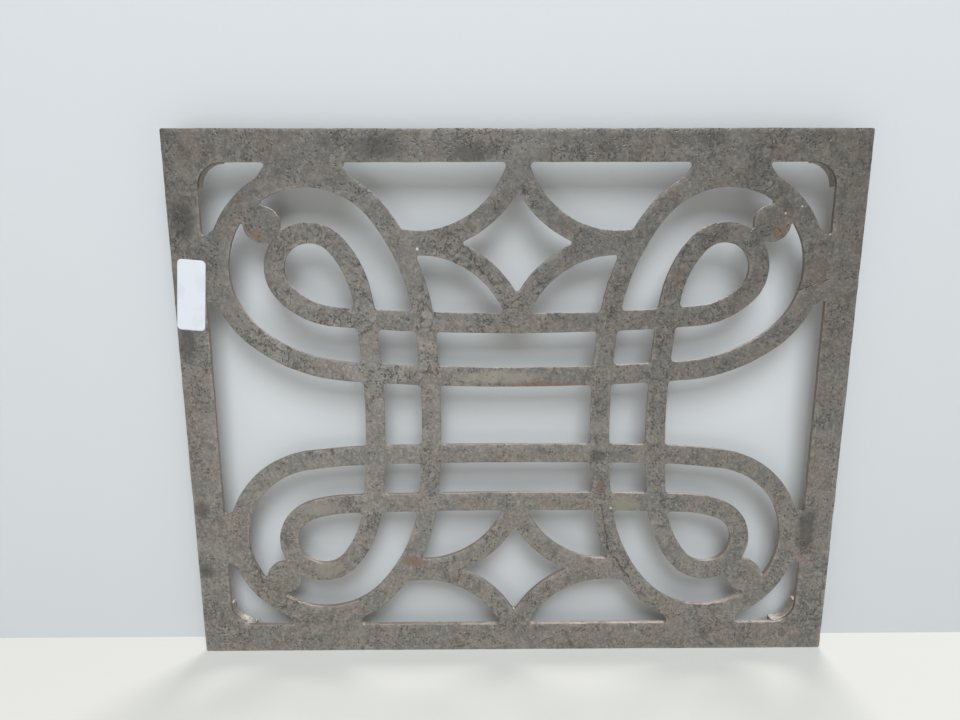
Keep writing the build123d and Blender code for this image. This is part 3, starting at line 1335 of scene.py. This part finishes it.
@dataclass
class StockLabel:
    """A blank paper label with rounded corners, a little askew and just lifting at two of them."""

    node: str = "stock_label"
    slot: str = "label_paper"
    width: float = 12.5 * MM
    length: float = 31.5 * MM
    corner: float = 2.0 * MM
    lean: float = math.radians(5.0)
    paper: float = 0.08 * MM
    ripple: float = 6 * MM
    columns: int = 26
    rows: int = 64

    def build(self, finish: bpy.types.Material) -> bpy.types.Object:
        """Builds the label and puts its finish on it.

        The sheet is a grid over the full rectangle. In each corner's square the grid is drawn into a quarter disc:
        each offset from the square's inner corner is multiplied by the root of 1 - (other offset)^2 / 2.

        Args:
            finish: The paper.

        Returns:
            The label.
        """
        low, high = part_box(self.node)
        across = np.linspace(-self.width / 2, self.width / 2, self.columns)
        along = np.linspace(-self.length / 2, self.length / 2, self.rows)
        u, v = (flat.ravel() for flat in np.meshgrid(across, along))
        core_u, core_v = self.width / 2 - self.corner, self.length / 2 - self.corner
        over_u = np.clip(np.abs(u) - core_u, 0, None) / self.corner
        over_v = np.clip(np.abs(v) - core_v, 0, None) / self.corner
        round_u = np.where(over_u > 0, core_u + self.corner * over_u * np.sqrt(1 - over_v**2 / 2), np.abs(u))
        round_v = np.where(over_v > 0, core_v + self.corner * over_v * np.sqrt(1 - over_u**2 / 2), np.abs(v))
        u, v = np.sign(u) * round_u, np.sign(v) * round_v
        x = (low.x + high.x) / 2 + u * math.cos(self.lean) + v * math.sin(self.lean)
        z = (low.z + high.z) / 2 - u * math.sin(self.lean) + v * math.cos(self.lean)
        room = high.y - low.y - self.paper
        lift_top = smooth_step(u / self.width + v / self.length - 0.35)
        lift_bottom = smooth_step(-u / self.width - v / self.length - 0.45)
        ripple = 0.25 + 0.25 * value_noise(upright(np.column_stack([u, v])), self.ripple, 5)
        y = high.y - self.paper - room * np.clip(ripple + lift_top * 3 + lift_bottom * 3, 0, 1)
        points = np.column_stack([x, y, z])
        piece = Surface(points, [grid_faces(self.rows, self.columns)[:, ::-1]]).piece("label_sheet")
        piece.data.materials.append(finish)
        shell = piece.modifiers.new("paper", "SOLIDIFY")
        shell.thickness = self.paper
        shell.offset = -1
        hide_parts(self.node)
        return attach(piece, BODY)


# The studio


@dataclass(frozen=True)
class SoftLight:
    """A square area light that points at the middle of the plate, with how often its light may be thrown on."""

    name: str
    place: tuple[float, float, float]
    side: float
    watts: float
    colour: Colour = (1.0, 1.0, 1.0)
    bounces: int = 1024

    def build(self) -> bpy.types.Object:
        """Adds the light to the scene."""
        data = bpy.data.lights.new(self.name, "AREA")
        data.size = self.side
        data.energy = self.watts
        data.color = self.colour
        data.cycles.max_bounces = self.bounces
        light = bpy.data.objects.new(self.name, data)
        light.location = self.place
        light.rotation_euler = (-Vector(self.place)).to_track_quat("-Z", "Y").to_euler()
        bpy.context.scene.collection.objects.link(light)
        return light


@dataclass
class Studio:
    """A pale floor, a pale backdrop that only the camera sees, soft light and the camera."""

    floor_colour: Colour = (0.68, 0.675, 0.65)
    wall_colour: Colour = (0.60, 0.615, 0.63)
    world_colour: Colour = (1.0, 0.93, 0.82)
    world_strength: float = 0.34
    floor_reach: float = 3.0
    wall_reach: float = 2.4
    wall_gap: float = 4.2 * MM
    wall_lean: float = math.radians(1.1)
    lens: float = 25.9
    eye: tuple[float, float, float] = (-18.8 * MM, -310.2 * MM, 86.4 * MM)
    pitch: float = math.radians(-11.65)
    yaw: float = math.radians(-0.42)
    roll: float = math.radians(-0.1)
    lights: tuple[SoftLight, ...] = (
        SoftLight("high_front", (0.10, -1.40, 1.60), 1.20, 45.0, (0.88, 0.95, 1.0)),
        SoftLight("low_front", (-0.15, -0.55, -0.09), 0.30, 0.5, (0.95, 0.98, 1.0)),
        SoftLight("rear", (0.45, 1.30, 1.00), 0.90, 16.0, (1.0, 0.98, 0.95), bounces=0),
    )

    def build(self) -> None:
        """Makes the floor, the backdrop, the light and the camera."""
        low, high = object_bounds()
        floor_finish = plain_material("floor_matt", self.floor_colour)
        floor = self.sheet("floor", -self.floor_reach, self.floor_reach, floor_finish)
        floor.location = (0, 0, low.z)
        wall_finish = plain_material("wall_matt", self.wall_colour, one_way=True)
        wall = self.sheet("backdrop", 0.0, self.wall_reach, wall_finish)
        wall.rotation_euler = Euler((math.pi / 2 - self.wall_lean, 0, 0))
        foot = self.wall_gap + (high.z - low.z) * math.tan(self.wall_lean)
        wall.location = (0, foot, low.z)
        for ray in ("diffuse", "glossy", "transmission", "volume_scatter", "shadow"):
            setattr(wall, "visible_" + ray, False)
        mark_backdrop(floor, wall)
        for light in self.lights:
            light.build()
        self.world()
        self.camera()
        bpy.context.scene.view_settings.view_transform = "Standard"

    def sheet(self, name: str, near: float, reach: float, material: bpy.types.Material) -> bpy.types.Object:
        """A flat sheet in its own XY plane.

        Args:
            name: The sheet's name.
            near: The Y of its near edge, in metres.
            reach: The Y of its far edge, and half its width, in metres.
            material: Its finish.

        Returns:
            The sheet.
        """
        ends = np.array([[-reach, near, 0], [reach, near, 0], [reach, reach, 0], [-reach, reach, 0]])
        piece = Surface(ends, [np.array([[0, 1, 2, 3]])]).piece(name)
        piece.data.materials.append(material)
        return piece

    def world(self) -> None:
        """Makes the even pale surroundings."""
        world = bpy.data.worlds.new("surroundings")
        world.use_nodes = True
        back = world.node_tree.nodes["Background"]
        back.inputs["Color"].default_value = opaque(self.world_colour)
        back.inputs["Strength"].default_value = self.world_strength
        bpy.context.scene.world = world

    def camera(self) -> None:
        """Makes the camera: a little above and to the left of the plate's middle, looking down at it."""
        data = bpy.data.cameras.new("camera")
        data.lens = self.lens
        data.clip_start = 1 * MM
        camera = bpy.data.objects.new("camera", data)
        camera.location = self.eye
        turned = Euler((math.pi / 2 + self.pitch, 0, self.yaw)).to_matrix() @ Matrix.Rotation(self.roll, 3, "Z")
        camera.rotation_euler = turned.to_euler()
        bpy.context.scene.collection.objects.link(camera)
        bpy.context.scene.camera = camera


def corners(box: tuple[Vector, Vector]) -> list[list[float]]:
    """A box's two corners as plain lists."""
    return [list(corner) for corner in box]


def main() -> None:
    """Builds the finishes, the pieces and the studio."""
    logging.basicConfig(level=logging.INFO, format="%(name)s: %(message)s")
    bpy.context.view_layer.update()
    effects = Effects()
    face_iron = IronFinish("face_iron", seams=FACE_SEAMS, stains=FACE_STAINS).material(effects)
    lug_iron = IronFinish("lug_iron", shift=57.0, patch=9.0, grey=(0.17, 0.155, 0.135), metal=0.15).material(effects)
    pieces = [Casting().build(face_iron)]
    for node in sorted(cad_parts):
        if node.startswith("corner_lug"):
            pieces.append(CornerLug(node).build(lug_iron))
    pieces.append(StockLabel().build(PaperFinish().material(effects)))
    for piece in pieces:
        LOG.info("%s has %d faces", piece.name, len(piece.data.polygons))
    Studio().build()


if __name__ == "__main__":
    main()
